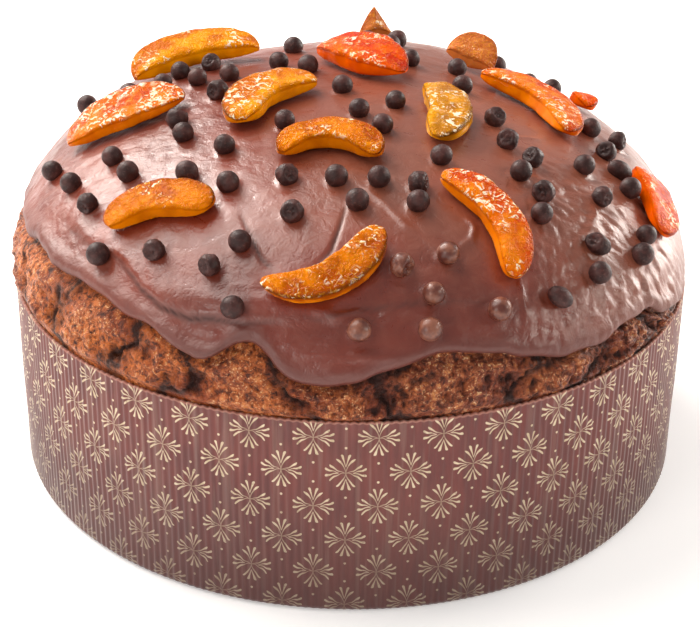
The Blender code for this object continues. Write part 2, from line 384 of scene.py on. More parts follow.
def srgb(red, green, blue):
    """A colour given as on screen, 0 to 255, as linear light."""
    scaled = [value / 255 for value in (red, green, blue)]
    linear = [v / 12.92 if v <= 0.04045 else ((v + 0.055) / 1.055) ** 2.4 for v in scaled]
    return (*linear, 1)


class Nodes:
    """One material's node tree, with a short method for each kind of node."""

    def __init__(self, name):
        self.material = bpy.data.materials.new(name)
        self.material.use_nodes = True
        self.tree = self.material.node_tree
        self.shader = self.tree.nodes["Principled BSDF"]
        self.place = self.new("ShaderNodeTexCoord").outputs["Object"]

    def place_axes(self):
        """The place's three coordinates on the object."""
        split = self.new("ShaderNodeSeparateXYZ")
        self.put(split.inputs[0], self.place)
        return split.outputs

    def new(self, kind, **settings):
        node = self.tree.nodes.new(kind)
        for name, value in settings.items():
            setattr(node, name, value)
        return node

    def put(self, socket, value):
        if isinstance(value, bpy.types.NodeSocket):
            self.tree.links.new(value, socket)
        else:
            socket.default_value = value

    def shade(self, **values):
        """Sets the shader's inputs. Names are written in small letters with underscores."""
        names = {socket.name.lower().replace(" ", "_"): socket for socket in self.shader.inputs}
        for name, value in values.items():
            self.put(names[name], value)

    def math(self, operation, *values):
        node = self.new("ShaderNodeMath", operation=operation)
        for socket, value in zip(node.inputs, values):
            self.put(socket, value)
        return node.outputs[0]

    def fit(self, value, low, high, to_low=0.0, to_high=1.0):
        """Carries one range to another, easing at both ends, and clamped."""
        node = self.new("ShaderNodeMapRange", interpolation_type="SMOOTHSTEP")
        for socket, given in zip(node.inputs, (value, low, high, to_low, to_high)):
            self.put(socket, given)
        return node.outputs[0]

    def mix(self, share, one, other):
        node = self.new("ShaderNodeMix", data_type="RGBA")
        self.put(node.inputs[0], share)
        self.put(node.inputs[6], one)
        self.put(node.inputs[7], other)
        return node.outputs[2]

    def stretched(self, x, y, z):
        node = self.new("ShaderNodeMapping")
        self.put(node.inputs["Vector"], self.place)
        node.inputs["Scale"].default_value = (x, y, z)
        return node.outputs[0]

    def noise(self, size, detail=3.0, roughness=0.55, place=None, distortion=0.0):
        node = self.new("ShaderNodeTexNoise")
        self.put(node.inputs["Vector"], place or self.place)
        node.inputs["Scale"].default_value = 1 / size
        node.inputs["Detail"].default_value = detail
        node.inputs["Roughness"].default_value = roughness
        node.inputs["Distortion"].default_value = distortion
        return node.outputs[0]

    def cell_edges(self, size):
        """How far the place is from the edge of its cell."""
        node = self.new("ShaderNodeTexVoronoi", feature="DISTANCE_TO_EDGE")
        self.put(node.inputs["Vector"], self.place)
        node.inputs["Scale"].default_value = 1 / size
        return node.outputs["Distance"]

    def attribute(self, name):
        return self.new("ShaderNodeAttribute", attribute_name=name).outputs["Fac"]

    def bump(self, height, distance, strength):
        node = self.new("ShaderNodeBump")
        node.inputs["Strength"].default_value = strength
        node.inputs["Distance"].default_value = distance
        self.put(node.inputs["Height"], height)
        return node.outputs[0]


# The paper case


def rim_height(azimuth):
    """The rim dips a little at the two sides."""
    return CASE_HEIGHT - RIM_DIP * np.cos(azimuth) ** 2


def make_case():
    steps = FLUTES * FLUTE_STEPS
    azimuth = np.arange(steps) / steps * 2 * math.pi
    flute = 0.5 - 0.5 * np.cos(azimuth * FLUTES)
    top = rim_height(azimuth) - RIM_TEETH * flute
    inner_foot = FOOT_RADIUS - PAPER
    inner_rim = RIM_RADIUS - PAPER
    # Each ring: radius, height as a share of the wall, height added to that, depth of the flutes.
    rings = (
        (MIDDLE_RADIUS, 0, PAPER, 0),
        (inner_foot - FOOT_ROUNDING, 0, PAPER, 0),
        (inner_foot, 0, PAPER + FOOT_ROUNDING, 1),
        (inner_rim, 0.9, 0, 1),
        (inner_rim, 1, -0.0003, 1),
        (inner_rim + PAPER * 0.3, 1, 0, 1),
        (RIM_RADIUS - PAPER * 0.25, 1, 0, 1),
        (RIM_RADIUS, 1, -0.0003, 1),
        (RIM_RADIUS, 1, -0.0007, 1),
        (RIM_RADIUS, 0.75, 0, 1),
        (RIM_RADIUS, 0.5, 0, 1),
        (FOOT_RADIUS, 0.25, 0, 1),
        (FOOT_RADIUS, 0, FOOT_ROUNDING, 1),
        (FOOT_RADIUS - FOOT_ROUNDING * 0.3, 0, FOOT_ROUNDING * 0.35, 0.6),
        (FOOT_RADIUS - FOOT_ROUNDING, 0, 0, 0),
        (MIDDLE_RADIUS, 0, 0, 0),
    )
    rows = []
    cut_edge = []
    for radius, share, height, depth in rings:
        across = radius - FLUTE_DEPTH * depth * flute
        rise = top * share + height
        # The rings along the rim's top, where a highlight is painted.
        cut_edge.append(np.full(steps, share == 1 and height > -0.0005))
        rows.append(np.stack((np.cos(azimuth) * across, np.sin(azimuth) * across, rise), axis=-1))
    faces = [face[::-1] for face in capped(ring_faces(len(rows), steps), len(rows), steps)]
    looks = {"cut_edge": np.concatenate(cut_edge)}
    material = printed_paper()
    add_piece("case_wall", np.concatenate(rows), faces, material, "printed_paper", ["paper_case"], **looks)


def printed_paper():
    nodes = Nodes("printed_paper_look")
    m = nodes.math
    east, north, height = nodes.place_axes()
    azimuth = m("ARCTAN2", east, m("MULTIPLY", north, -1.0))
    around = m("MULTIPLY", azimuth, COLUMNS / (2 * math.pi))
    upward = m("DIVIDE", m("SUBTRACT", m("DIVIDE", height, MM), FRONT_ROW_MM), PERIOD_MM)
    x = m("MULTIPLY", m("ABSOLUTE", m("SUBTRACT", around, m("ROUND", around))), COLUMN_PITCH_MM)
    y = m("MULTIPLY", m("ABSOLUTE", m("SUBTRACT", upward, m("ROUND", upward))), PERIOD_MM)
    half_x, half_y = COLUMN_PITCH_MM / 2, PERIOD_MM / 2
    corner = m("GREATER_THAN", m("ADD", m("DIVIDE", x, half_x), m("DIVIDE", y, half_y)), 1.0)
    x = m("ABSOLUTE", m("SUBTRACT", x, m("MULTIPLY", corner, half_x)))
    y = m("ABSOLUTE", m("SUBTRACT", y, m("MULTIPLY", corner, half_y)))
    print_mask = m("MAXIMUM", ornament(nodes, x, y), dot(nodes, x, y))

    worn = nodes.fit(nodes.noise(0.0011, 2.0), 0.30, 0.42)
    print_mask = m("MULTIPLY", print_mask, m("ADD", m("MULTIPLY", worn, 0.35), 0.55))
    groove = m("ADD", m("MULTIPLY", m("COSINE", m("MULTIPLY", azimuth, float(FLUTES))), 0.5), 0.5)
    fibre = nodes.noise(0.002, 4.0, 0.6, nodes.stretched(1, 1, 0.12))
    blotch = nodes.noise(0.03, 3.0)
    sheen_streaks = nodes.fit(nodes.noise(0.0018, 2.0, 0.5, nodes.stretched(1, 1, 0.04)), 0.52, 0.66)
    paper = nodes.mix(nodes.fit(fibre, 0.3, 0.7), srgb(90, 31, 27), srgb(110, 44, 38))
    paper = nodes.mix(nodes.fit(blotch, 0.35, 0.65, 0.0, 0.3), paper, srgb(132, 70, 58))
    # Painted shade: dark stripes along the flutes, stronger in some places than others.
    uneven = m("MULTIPLY", groove, nodes.fit(nodes.noise(0.007, 2.0), 0.35, 0.65, 0.02, 0.16))
    paper = nodes.mix(uneven, paper, srgb(60, 22, 20))
    # Painted sheen: faint pale streaks running up the paper.
    paper = nodes.mix(m("MULTIPLY", sheen_streaks, 0.12), paper, srgb(176, 156, 138))
    beige = nodes.mix(nodes.fit(fibre, 0.3, 0.7), srgb(200, 178, 142), srgb(228, 210, 178))
    tone = nodes.mix(print_mask, paper, beige)
    # Painted shade: the case darkens toward its foot.
    tone = nodes.mix(nodes.fit(height, 0.0, 0.055, 0.65, 0.0), tone, srgb(58, 22, 18))
    # Painted highlight along the top of the rim.
    tone = nodes.mix(m("MULTIPLY", nodes.attribute("cut_edge"), 0.6), tone, srgb(200, 142, 124))
    relief = m("ADD", m("MULTIPLY", fibre, 0.6), m("MULTIPLY", print_mask, 0.15))
    nodes.shade(
        base_color=tone,
        roughness=nodes.fit(fibre, 0.3, 0.7, 0.38, 0.50),
        sheen_weight=0.4,
        sheen_roughness=0.3,
        sheen_tint=(1.0, 0.96, 0.9, 1),
        normal=nodes.bump(relief, 0.0001, 0.6),
    )
    return nodes.material


def ornament(nodes, x, y):
    """Four fans of four clubs. One eighth of that has an inner straight club and an outer curved one."""
    m = nodes.math
    far = m("MAXIMUM", x, y)
    near = m("MINIMUM", x, y)
    share = m("DIVIDE", far, ORNAMENT_MM)
    inner_line = m("MULTIPLY", m("SUBTRACT", share, 0.34), ORNAMENT_MM * 0.30)
    outer_line = m("MULTIPLY", m("POWER", share, 1.7), ORNAMENT_MM * 0.66)
    inner = club(nodes, share, m("SUBTRACT", near, inner_line), 0.34, 0.97)
    outer = club(nodes, share, m("SUBTRACT", near, outer_line), 0.02, 0.76)
    strength = nodes.fit(share, 0.05, 0.7, 0.4, 1.0)
    return m("MULTIPLY", m("MAXIMUM", inner, outer), strength)


def club(nodes, share, aside, start, end):
    """A stroke that widens from start to end and closes in a round tip."""
    m = nodes.math
    grown = nodes.fit(share, start, end)
    width = m("ADD", m("MULTIPLY", m("POWER", grown, 2.0), 0.30), 0.12)
    beyond = m("MAXIMUM", m("SUBTRACT", share, end - 0.06), 0.0)
    before = m("MAXIMUM", m("SUBTRACT", start, share), 0.0)
    past = m("MULTIPLY", m("ADD", beyond, before), ORNAMENT_MM)
    away = m("SQRT", m("ADD", m("MULTIPLY", aside, aside), m("MULTIPLY", past, past)))
    return nodes.fit(m("SUBTRACT", width, away), -0.05, 0.05)


def dot(nodes, x, y):
    m = nodes.math
    rise = m("SUBTRACT", y, DOT_FROM_CENTRE_MM)
    away = m("SQRT", m("ADD", m("MULTIPLY", x, x), m("MULTIPLY", rise, rise)))
    return nodes.fit(m("SUBTRACT", DOT_MM, away), -0.06, 0.06)


# The crust


def fold_depths(azimuth):
    """How deep the soft folds and the dark crevices in them are at these azimuths."""
    nearest = np.full_like(azimuth, 180.0)
    for fold in FOLDS:
        nearest = np.minimum(nearest, turn_between(np.degrees(azimuth), fold))
    soft = FOLD_DEPTH * np.exp(-(nearest / FOLD_WIDTH) ** 2)
    crevice = CREVICE_DEPTH * np.exp(-(nearest / CREVICE_WIDTH) ** 2)
    return soft, crevice


def make_crust():
    azimuth = np.arange(CRUST_STEPS) / CRUST_STEPS * 2 * math.pi
    edge = edge_elevation(azimuth)
    wall = RIM_RADIUS - PAPER - GAP
    floor = PAPER + GAP
    rows = []
    creases = []
    side = wall - SIDE_INSET
    in_case = (
        (MIDDLE_RADIUS, floor),
        (wall - CRUST_ROUNDING, floor),
        (side, floor + CRUST_ROUNDING),
        (side, SIDE_TOP),
    )
    for radius, height in in_case:
        level = np.full(CRUST_STEPS, height)
        rows.append(np.stack((np.cos(azimuth) * radius, np.sin(azimuth) * radius, level), axis=-1))
        creases.append(np.zeros(CRUST_STEPS))
    for step in range(CRUST_RINGS + 1):
        share = BAND_START + BAND_LENGTH * step / CRUST_RINGS
        points, crease = crust_ring(azimuth, edge, share)
        rows.append(points)
        creases.append(crease)
    for share in (0.15, 0.35, 0.6, 0.85, 0.99):
        elevation = edge + (0.06 + 0.94 * share) * (QUARTER - edge)
        directions = toward(azimuth, elevation)
        rows.append(dome_point(directions) - dome_normal(directions) * UNDER_GLAZE)
        creases.append(np.zeros(CRUST_STEPS))
    faces = capped(ring_faces(len(rows), CRUST_STEPS), len(rows), CRUST_STEPS)
    low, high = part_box("loaf")
    points = np.clip(np.concatenate(rows), low, high)
    looks = {"crease": np.concatenate(creases)}
    add_piece("crust", points, faces, baked_crust(), "chocolate_crust", ["loaf"], **looks)


def crust_ring(azimuth, edge, share):
    """One ring of the bare band, from the rim (share 0) to the glaze's edge (1) and a little past both."""
    along = np.clip(share, 0, 1)
    swell = math.sin(math.pi * min(1, along * 1.1))
    directions = toward(azimuth, edge * share)
    reach = dome_reach(directions)
    wobble = rough(DOME_MIDDLE + directions * DOME_RADIUS, 0.006, 3, 12)
    soft, crevice = fold_depths(azimuth + 0.05 * np.sin(share * 4 + azimuth * 5) + 0.035 * wobble)
    crevice = crevice * np.clip(0.75 + 1.2 * wobble, 0.15, 1.6)
    at_rim = RIM_RADIUS - PAPER
    start = at_rim + (reach - UNDER_GLAZE - at_rim) * along
    widest = reach - CRUST_DEPTH - (soft + crevice) * max(swell, 0.25)
    swollen = start + (widest - start) * min(1, 1.6 * swell)
    places = DOME_MIDDLE + directions * swollen[..., None]
    degrees = np.degrees(azimuth)
    lumps = rough(places, 0.011, 2, 1)
    grain = rough(places, (0.0030, 0.0030, 0.0024), 3, 2)
    wrinkled = 0.3 + 0.7 * smooth_step(-turn_between(degrees, -55), -48, -30)
    ridged = 1 - 2 * np.abs(rough(places, (0.0042, 0.0042, 0.0055), 3, 9))
    torn = smooth_step(-turn_between(degrees, -30), -26, -16)
    flakes = np.abs(rough(places, (0.005, 0.005, 0.0026), 3, 3)) * torn
    visible = (1 if share < 0.93 else 0.3) * (0.3 + 0.7 * min(1, along / 0.2))
    pressed = 0.0009 * (lumps - 0.5) + 0.0007 * (grain - 0.3)
    pressed = (pressed + 0.0009 * wrinkled * (ridged - 0.8) - 0.0022 * flakes) * visible
    # How deep each place lies in folds, crevices, pits and wrinkles; the material paints shade there.
    crease = soft / FOLD_DEPTH * 0.6 + crevice / CREVICE_DEPTH * 0.6 + np.clip(-grain, 0, 1) * 0.3
    crease = crease + wrinkled * np.clip(0.5 - ridged, 0, 1) * 0.7 + flakes * 0.12
    return places + directions * pressed[..., None], np.clip(crease, 0, 1.5)


def baked_crust():
    nodes = Nodes("baked_crust_look")
    m = nodes.math
    grain = nodes.noise(0.0019, 5.0, 0.72, distortion=0.4)
    fine = nodes.noise(0.0007, 3.0, 0.7)
    patches = nodes.noise(0.013, 3.0, 0.5)
    crease = nodes.attribute("crease")
    raised = nodes.fit(crease, 0.12, 0.55, 1.0, 0.0)
    east = nodes.place_axes()[0]
    tone = nodes.mix(nodes.fit(patches, 0.35, 0.65), srgb(166, 70, 20), srgb(224, 118, 48))
    # Painted shade: the crust is darker and duller toward the right.
    tone = nodes.mix(nodes.fit(east, -0.06, 0.03, 0.0, 0.6), tone, srgb(136, 66, 50))
    tone = nodes.mix(nodes.fit(grain, 0.34, 0.58), srgb(66, 22, 8), tone)
    # Painted highlights: pale spots on the raised grain, then finer glints on them.
    painted_highlights = m("MULTIPLY", nodes.fit(grain, 0.52, 0.68), m("ADD", m("MULTIPLY", raised, 0.6), 0.15))
    tone = nodes.mix(painted_highlights, tone, srgb(240, 166, 104))
    coarse = m("MULTIPLY", raised, nodes.fit(grain, 0.42, 0.58))
    glints = m("MULTIPLY", nodes.fit(fine, 0.56, 0.64), coarse)
    tone = nodes.mix(glints, tone, srgb(252, 210, 160))
    # Painted shade in the folds, crevices, pits and wrinkles.
    tone = nodes.mix(nodes.fit(crease, 0.30, 1.0, 0.0, 0.92), tone, srgb(38, 11, 5))
    height = m("ADD", grain, m("MULTIPLY", fine, 0.3))
    nodes.shade(
        base_color=tone,
        roughness=nodes.fit(grain, 0.35, 0.65, 0.50, 0.26),
        specular_ior_level=0.4,
        normal=nodes.bump(height, 0.0020, 1.0),
    )
    return nodes.material


# The glaze

# Narrow ridges and cracks in the glaze: height and half width, and points seen from above, all in mm.
RIDGES = (
    (-0.9, 0.5, ((-31, -68), (-27, -78), (-24, -84), (-20, -88))),
    (-0.7, 0.5, ((-1, -67), (-3, -76), (-5, -83), (-9, -87))),
    (0.5, 0.8, ((2, -57), (10, -66), (16, -74), (24, -80))),
    (0.8, 0.8, ((33, -68), (35, -71), (34, -75), (30, -79))),
    (0.9, 0.6, ((72, -47), (69, -58), (65, -64), (60, -69))),
    (0.8, 0.5, ((47, -83), (48, -86), (49, -90))),
    (0.8, 1.0, ((84, -50), (86, -58), (89, -64), (90, -70))),
    (1.4, 0.9, ((-9, -98), (-3, -99.5), (3, -98.5), (8, -100), (12, -98))),
    (0.9, 0.7, ((20, -104), (28, -104.5), (36, -102), (42, -98.5))),
    (0.9, 0.7, ((-14, -105), (0, -106), (14, -105))),
    (1.0, 1.0, ((-58, -87), (-52, -93), (-45, -98), (-40, -101), (-34, -101), (-28, -101))),
    (0.35, 0.7, ((-70, -56), (-66, -64), (-58, -70))),
    (0.35, 0.8, ((-82, -40), (-78, -56), (-72, -64))),
    (0.4, 0.8, ((46, 20), (44, 8), (40, -2))),
    (0.4, 1.0, ((60, -12), (56, -18), (48, -22))),
    (0.5, 0.7, ((68, -38), (72, -52), (70, -64))),
)
# Thick folds, where the glaze stands higher on the line's inner side: the same three things.
STEPS = (
    (
        2.1, 0.55,
        ((-72, -62), (-64, -73), (-58, -82), (-52, -88), (-44, -93), (-37, -95), (-28, -98), (-16, -99)),
    ),
    (0.7, 1.2, ((-86, -40), (-82, -50), (-74, -62), (-66, -72))),
    (0.9, 1.1, ((-22, -97), (-8, -99), (10, -96), (30, -92), (50, -88))),
    (0.8, 0.9, ((92, -46), (86, -56), (84, -66))),
)
STEP_REACH_MM = 9
# The slices, by number, whose orange glow is painted on the glaze round them.
GLOWING_SLICES = (5, 9, 11, 12, 13, 14)
GLOW_MM = 3.2


def nearest_on_path(x, y, path):
    """Distance in mm to a line of points, the same but negative on its outer side, and the share along."""
    best = np.full(x.shape, 1e9)
    signed = np.zeros(x.shape)
    along = np.zeros(x.shape)
    for number, (start, end) in enumerate(zip(path[:-1], path[1:])):
        dx, dy = end[0] - start[0], end[1] - start[1]
        length = math.hypot(dx, dy)
        share = np.clip(((x - start[0]) * dx + (y - start[1]) * dy) / length ** 2, 0, 1)
        off_x, off_y = x - start[0] - share * dx, y - start[1] - share * dy
        distance = np.hypot(off_x, off_y)
        inner = np.sign(off_x * -start[0] + off_y * -start[1])
        closer = distance < best
        best = np.where(closer, distance, best)
        signed = np.where(closer, distance * inner, signed)
        along = np.where(closer, (number + share) / (len(path) - 1), along)
    return best, signed, along


def disc_grid(count):
    """An even square grid carried to the unit disc, as radius and azimuth."""
    line = np.linspace(-1, 1, count)
    a, b = np.meshgrid(line, line)
    wide = np.abs(a) > np.abs(b)
    angle = np.where(wide, math.pi / 4 * b / a, QUARTER - math.pi / 4 * a / b)
    behind = np.where(wide, a < 0, b < 0)
    return np.maximum(np.abs(a), np.abs(b)).ravel(), (angle + math.pi * behind).ravel()


def glaze_relief(places, from_edge, pearls):
    """How far the glaze stands off the smooth dome, and how dark it is in cracks and under folds."""
    x, y = places[:, 0] / MM, places[:, 1] / MM
    relief = 0.00030 * rough(places, 0.028, 2, 4) + 0.00016 * rough(places, 0.009, 2, 5)
    left = smooth_step(-x, 20, 60)
    right = smooth_step(x, 38, 60) * smooth_step(-y, 15, 45)
    front = smooth_step(-y, 78, 96) * (1 - right)
    relief += 0.00024 * left * rough(places, (0.0035, 0.005, 0.0035), 3, 6)
    relief += 0.00060 * right * rough(places, (0.0026, 0.0026, 0.008), 2, 7)
    relief += 0.00055 * front * rough(places, (0.016, 0.016, 0.0035), 2, 8)
    shaded = np.zeros(len(x))
    for height, width, path in RIDGES:
        distance, _, along = nearest_on_path(x, y, path)
        fade = np.clip(np.sin(math.pi * np.clip(along, 0.02, 0.98)), 0, 1) ** 0.5
        profile = fade * np.exp(-(distance / width) ** 2)
        relief += height * MM * profile
        if height < 0:
            shaded = np.maximum(shaded, profile)
    for height, width, path in STEPS:
        distance, signed, along = nearest_on_path(x, y, path)
        fade = np.sin(math.pi * np.clip(along, 0.0, 1.0)) ** 0.7
        fade = fade * smooth_step(-distance, -STEP_REACH_MM, -2)
        relief += height * MM * fade * (smooth_step(signed, -width, width) - 0.65)
        shaded = np.maximum(shaded, height * 0.55 * fade * np.exp(-((signed + width * 0.8) / 0.45) ** 2))
    for pearl in pearls:
        away = np.linalg.norm(places - dome_point(pearl), axis=1) - PEARL_RADIUS
        relief += 0.0004 * np.exp(-(np.maximum(away + 0.0010, 0) / 0.0010) ** 2)
    shaded = np.maximum(shaded, 0.45 * smooth_step(-from_edge, -0.007, -0.001))
    swell = LIP_SWELL * np.exp(-((from_edge - 0.003) / 0.0022) ** 2)
    inward = np.clip(1 - from_edge / LIP_WIDTH, 0, 1)
    relief = relief * smooth_step(from_edge, -0.001, 0.002) + swell
    return relief - LIP_DEPTH * (1 - np.sqrt(1 - inward ** 2 * 0.999)), shaded


def make_glaze(pearls):
    radius, azimuth = disc_grid(GLAZE_GRID)
    edge = edge_elevation(azimuth)
    elevation = edge + (1 - radius ** 0.92) * (QUARTER - edge)
    directions = toward(azimuth, elevation)
    places = dome_point(directions)
    from_edge = (elevation - edge) * DOME_RADIUS
    relief, shaded = glaze_relief(places, from_edge, pearls)
    points = [places + dome_normal(directions) * relief[:, None]]

    index = np.arange(GLAZE_GRID * GLAZE_GRID).reshape(GLAZE_GRID, GLAZE_GRID)
    corners = (index[:-1, :-1], index[:-1, 1:], index[1:, 1:], index[1:, :-1])
    faces = np.stack(corners, axis=-1).reshape(-1, 4).tolist()
    loop = np.concatenate((index[0, :-1], index[:-1, -1], index[-1, :0:-1], index[:0:-1, 0]))

    rim_azimuth, rim_edge = azimuth[loop], edge[loop]
    tuck = LIP_TUCK / DOME_RADIUS
    last = loop
    total = GLAZE_GRID * GLAZE_GRID
    for ring in range(1, LIP_RINGS + UNDER_RINGS + 1):
        if ring <= LIP_RINGS:
            turn = QUARTER * ring / LIP_RINGS
            depth = LIP_DEPTH + (GLAZE - 0.0001 - LIP_DEPTH) * math.sin(turn) + UNDERSIDE_EXTRA
            raised = rim_edge + tuck * (1 - math.cos(turn))
        else:
            share = (ring - LIP_RINGS) / (UNDER_RINGS + 0.3)
            depth = GLAZE + UNDERSIDE_EXTRA
            raised = rim_edge + tuck + share * (QUARTER - rim_edge)
        under = toward(rim_azimuth, raised)
        points.append(dome_point(under) - dome_normal(under) * depth)
        now = np.arange(total, total + len(loop))
        faces += np.stack((last, now, np.roll(now, -1), np.roll(last, -1)), axis=-1).tolist()
        last = now
        total += len(loop)
    faces.append(last.tolist()[::-1])
    shape = np.concatenate(points)
    left = smooth_step(-shape[:, 0], 0.02, 0.06)
    right = smooth_step(shape[:, 0], 0.045, 0.07) * smooth_step(-shape[:, 1], 0.01, 0.04)
    wrinkled = np.maximum(left, right)
    orange_glow = np.zeros(len(shape))
    for number in GLOWING_SLICES:
        piece = ORANGE[number - 1]
        distances = [np.linalg.norm(shape - place, axis=1) for place in orange_line(piece)]
        away = np.min(distances, axis=0) / MM
        orange_glow = np.maximum(orange_glow, np.exp(-(np.maximum(away - piece[5] / 2, 0) / GLOW_MM) ** 2))
    shaded = np.concatenate((shaded, np.zeros(len(shape) - len(shaded))))
    looks = {"wrinkled": wrinkled, "orange_glow": orange_glow, "shaded": shaded}
    add_piece("glaze_coat", shape, faces, milk_glaze(), "milk_chocolate", ["glaze"], **looks)


def milk_glaze():
    nodes = Nodes("milk_glaze_look")
    m = nodes.math
    broad = nodes.noise(0.05, 3.0, 0.5)
    fine = nodes.noise(0.0045, 4.0, 0.6, distortion=0.6)
    creases = nodes.noise(0.0024, 3.0, 0.65, distortion=1.4)
    grain = nodes.noise(0.0008, 3.0, 0.6)
    # Painted shade makes the glaze darker at the front, and a painted sheen makes it paler and greyer
    # toward the right.
    east, north = nodes.place_axes()[:2]
    front = nodes.fit(north, -0.104, -0.076, 0.6, 0.0)
    painted_sheen = m("MULTIPLY", nodes.fit(east, -0.04, 0.01, 0.0, 0.6), nodes.fit(north, -0.095, -0.060))
    tone = nodes.mix(nodes.fit(broad, 0.35, 0.65), srgb(102, 39, 24), srgb(130, 56, 39))
    tone = nodes.mix(nodes.fit(fine, 0.35, 0.70, 0.0, 0.3), tone, srgb(140, 80, 61))
    # Painted glow: the glaze turns redder beside some slices.
    tone = nodes.mix(m("MULTIPLY", nodes.attribute("orange_glow"), 0.2), tone, srgb(176, 62, 30))
    tone = nodes.mix(painted_sheen, tone, srgb(134, 80, 60))
    tone = nodes.mix(front, tone, srgb(96, 29, 14))
    shaded = nodes.attribute("shaded")
    tone = nodes.mix(m("MULTIPLY", shaded, 0.8), tone, srgb(52, 16, 8))
    wrinkled = nodes.attribute("wrinkled")
    height = m("ADD", m("MULTIPLY", fine, 0.55), m("MULTIPLY", grain, 0.08))
    height = m("ADD", height, m("MULTIPLY", creases, m("ADD", m("MULTIPLY", wrinkled, 0.30), 0.06)))
    nodes.shade(
        base_color=tone,
        roughness=m("ADD", nodes.fit(fine, 0.3, 0.7, 0.27, 0.38), m("MULTIPLY", shaded, 0.4)),
        specular_ior_level=0.7,
        normal=nodes.bump(height, 0.0007, 0.8),
    )
    return nodes.material


# The pearls


def pearl_places():
    """The pearls' directions, each clear of the orange and of the pearls before it."""
    lines = [(orange_line(piece), piece[5] * MM / 2) for piece in ORANGE]
    kept = []
    for x, y in PEARLS_LEFT + PEARLS_MIDDLE + PEARLS_RIGHT + PEARLS_BEHIND:
        direction = clear_of_orange(seen_from_above(x * MM, y * MM), lines)
        here = dome_point(direction)
        if all(np.linalg.norm(dome_point(other) - here) > PEARL_SPACE for other in kept):
            kept.append(direction)
    return kept


def clear_of_orange(direction, lines):
    """Moves a pearl along the dome until it lies beside every slice of orange."""
    for _ in range(12):
        here = dome_point(direction)
        for line, half in lines:
            nearest = line[np.argmin(np.linalg.norm(line - here, axis=1))]
            needed = half + PEARL_RADIUS + PEARL_CLEARANCE
            if np.linalg.norm(here - nearest) < needed:
                here = nearest + unit(here - nearest) * (needed + 0.0002)
        moved = unit(here - DOME_MIDDLE)
        if np.linalg.norm(moved - direction) < 0.0005:
            return moved
        direction = moved
    return direction


def is_near(direction, marks):
    """True if a pearl is one of these, by its place from above."""
    x, y = dome_point(direction)[:2] / MM
    return any(math.hypot(x - mark[0], y - mark[1]) < MARK_REACH_MM for mark in marks)


def pearl_points(ball, direction, draw):
    """One pearl's vertices: a ball that is a little uneven, sunk in the glaze."""
    size = PEARL_RADIUS * draw.uniform(0.88, 0.98)
    seed = draw.uniform(0, 90)
    uneven = 1 + 0.030 * rough(ball, 0.9, 2, seed) + 0.008 * rough(ball, 0.25, 1, seed)
    points = ball * uneven[:, None]
    if is_near(direction, CHIPPED) or draw.random() < CHIPPED_SHARE:
        points = points * (1 + 0.08 * rough(ball, 0.55, 3, seed + 3)[:, None])
        axis = unit(np.array([draw.gauss(0, 0.7), draw.gauss(-0.6, 0.5), draw.uniform(0.4, 1.0)]))
        bite = np.clip((0.72 - np.arccos(np.clip(ball @ axis, -1, 1))) / 0.22, 0, 1)
        points = points * (1 - 0.30 * bite * (1 + 0.7 * rough(ball, 0.3, 2, seed + 5)))[:, None]
    if is_near(direction, PRESSED):
        points = points * (1.25, 0.9, 0.9)
    normal = dome_normal(direction)
    east = unit(np.cross((0, 1, 0), normal))
    axes = np.stack((east, np.cross(normal, east), normal))
    centre = dome_point(direction) + normal * (PEARL_RADIUS - PEARL_SUNK)
    return centre + points * size @ axes


def make_pearls(pearls):
    """Dark pearls in one piece and the glaze-coated ones in another."""
    bpy.ops.mesh.primitive_ico_sphere_add(subdivisions=4, radius=1)
    helper = bpy.context.object
    ball = np.array([vertex.co[:] for vertex in helper.data.vertices])
    triangles = np.array([face.vertices[:] for face in helper.data.polygons])
    bpy.data.objects.remove(helper, do_unlink=True)
    draw = random.Random(PEARL_SEED)
    coated = [direction for direction in pearls if is_near(direction, COATED)]
    dark = [direction for direction in pearls if not is_near(direction, COATED)]
    kinds = (("pearls", dark, dark_pearl()), ("coated_pearls", coated, coated_pearl()))
    for name, places, material in kinds:
        points = np.concatenate([pearl_points(ball, direction, draw) for direction in places])
        faces = np.concatenate([triangles + number * len(ball) for number in range(len(places))])
        add_piece(name, points, faces.tolist(), material, "milk_chocolate", ["glaze"])


def dark_pearl():
    nodes = Nodes("dark_pearl_look")
    m = nodes.math
    fine = nodes.noise(0.0007, 3.0, 0.6)
    bloom = nodes.noise(0.004, 3.0, 0.6)
    tone = nodes.mix(nodes.fit(bloom, 0.4, 0.7), srgb(46, 22, 20), srgb(78, 44, 40))
    # Painted highlights: fine pale specks.
    tone = nodes.mix(nodes.fit(fine, 0.55, 0.72, 0.0, 0.35), tone, srgb(118, 80, 72))
    nodes.shade(
        base_color=tone,
        roughness=nodes.fit(fine, 0.35, 0.65, 0.40, 0.55),
        specular_ior_level=0.3,
        normal=nodes.bump(m("ADD", fine, m("MULTIPLY", bloom, 0.5)), 0.00022, 0.8),
    )
    return nodes.material


def coated_pearl():
    nodes = Nodes("coated_pearl_look")
    bloom = nodes.noise(0.0035, 3.0, 0.6)
    nodes.shade(
        base_color=nodes.mix(nodes.fit(bloom, 0.35, 0.65), srgb(86, 40, 30), srgb(130, 80, 62)),
        roughness=0.34,
        normal=nodes.bump(bloom, 0.0004, 0.6),
    )
    return nodes.material


# The candied orange


def bent(piece, along, across):
    """Where a place along (-1 to 1) and across (metres) a bent slice lies in the plane it is bent in."""
    length, bend = piece[3] * MM, math.radians(piece[4])
    radius = length / bend
    turn = along * bend / 2
    return (radius - across) * np.sin(turn), radius - (radius - across) * np.cos(turn)


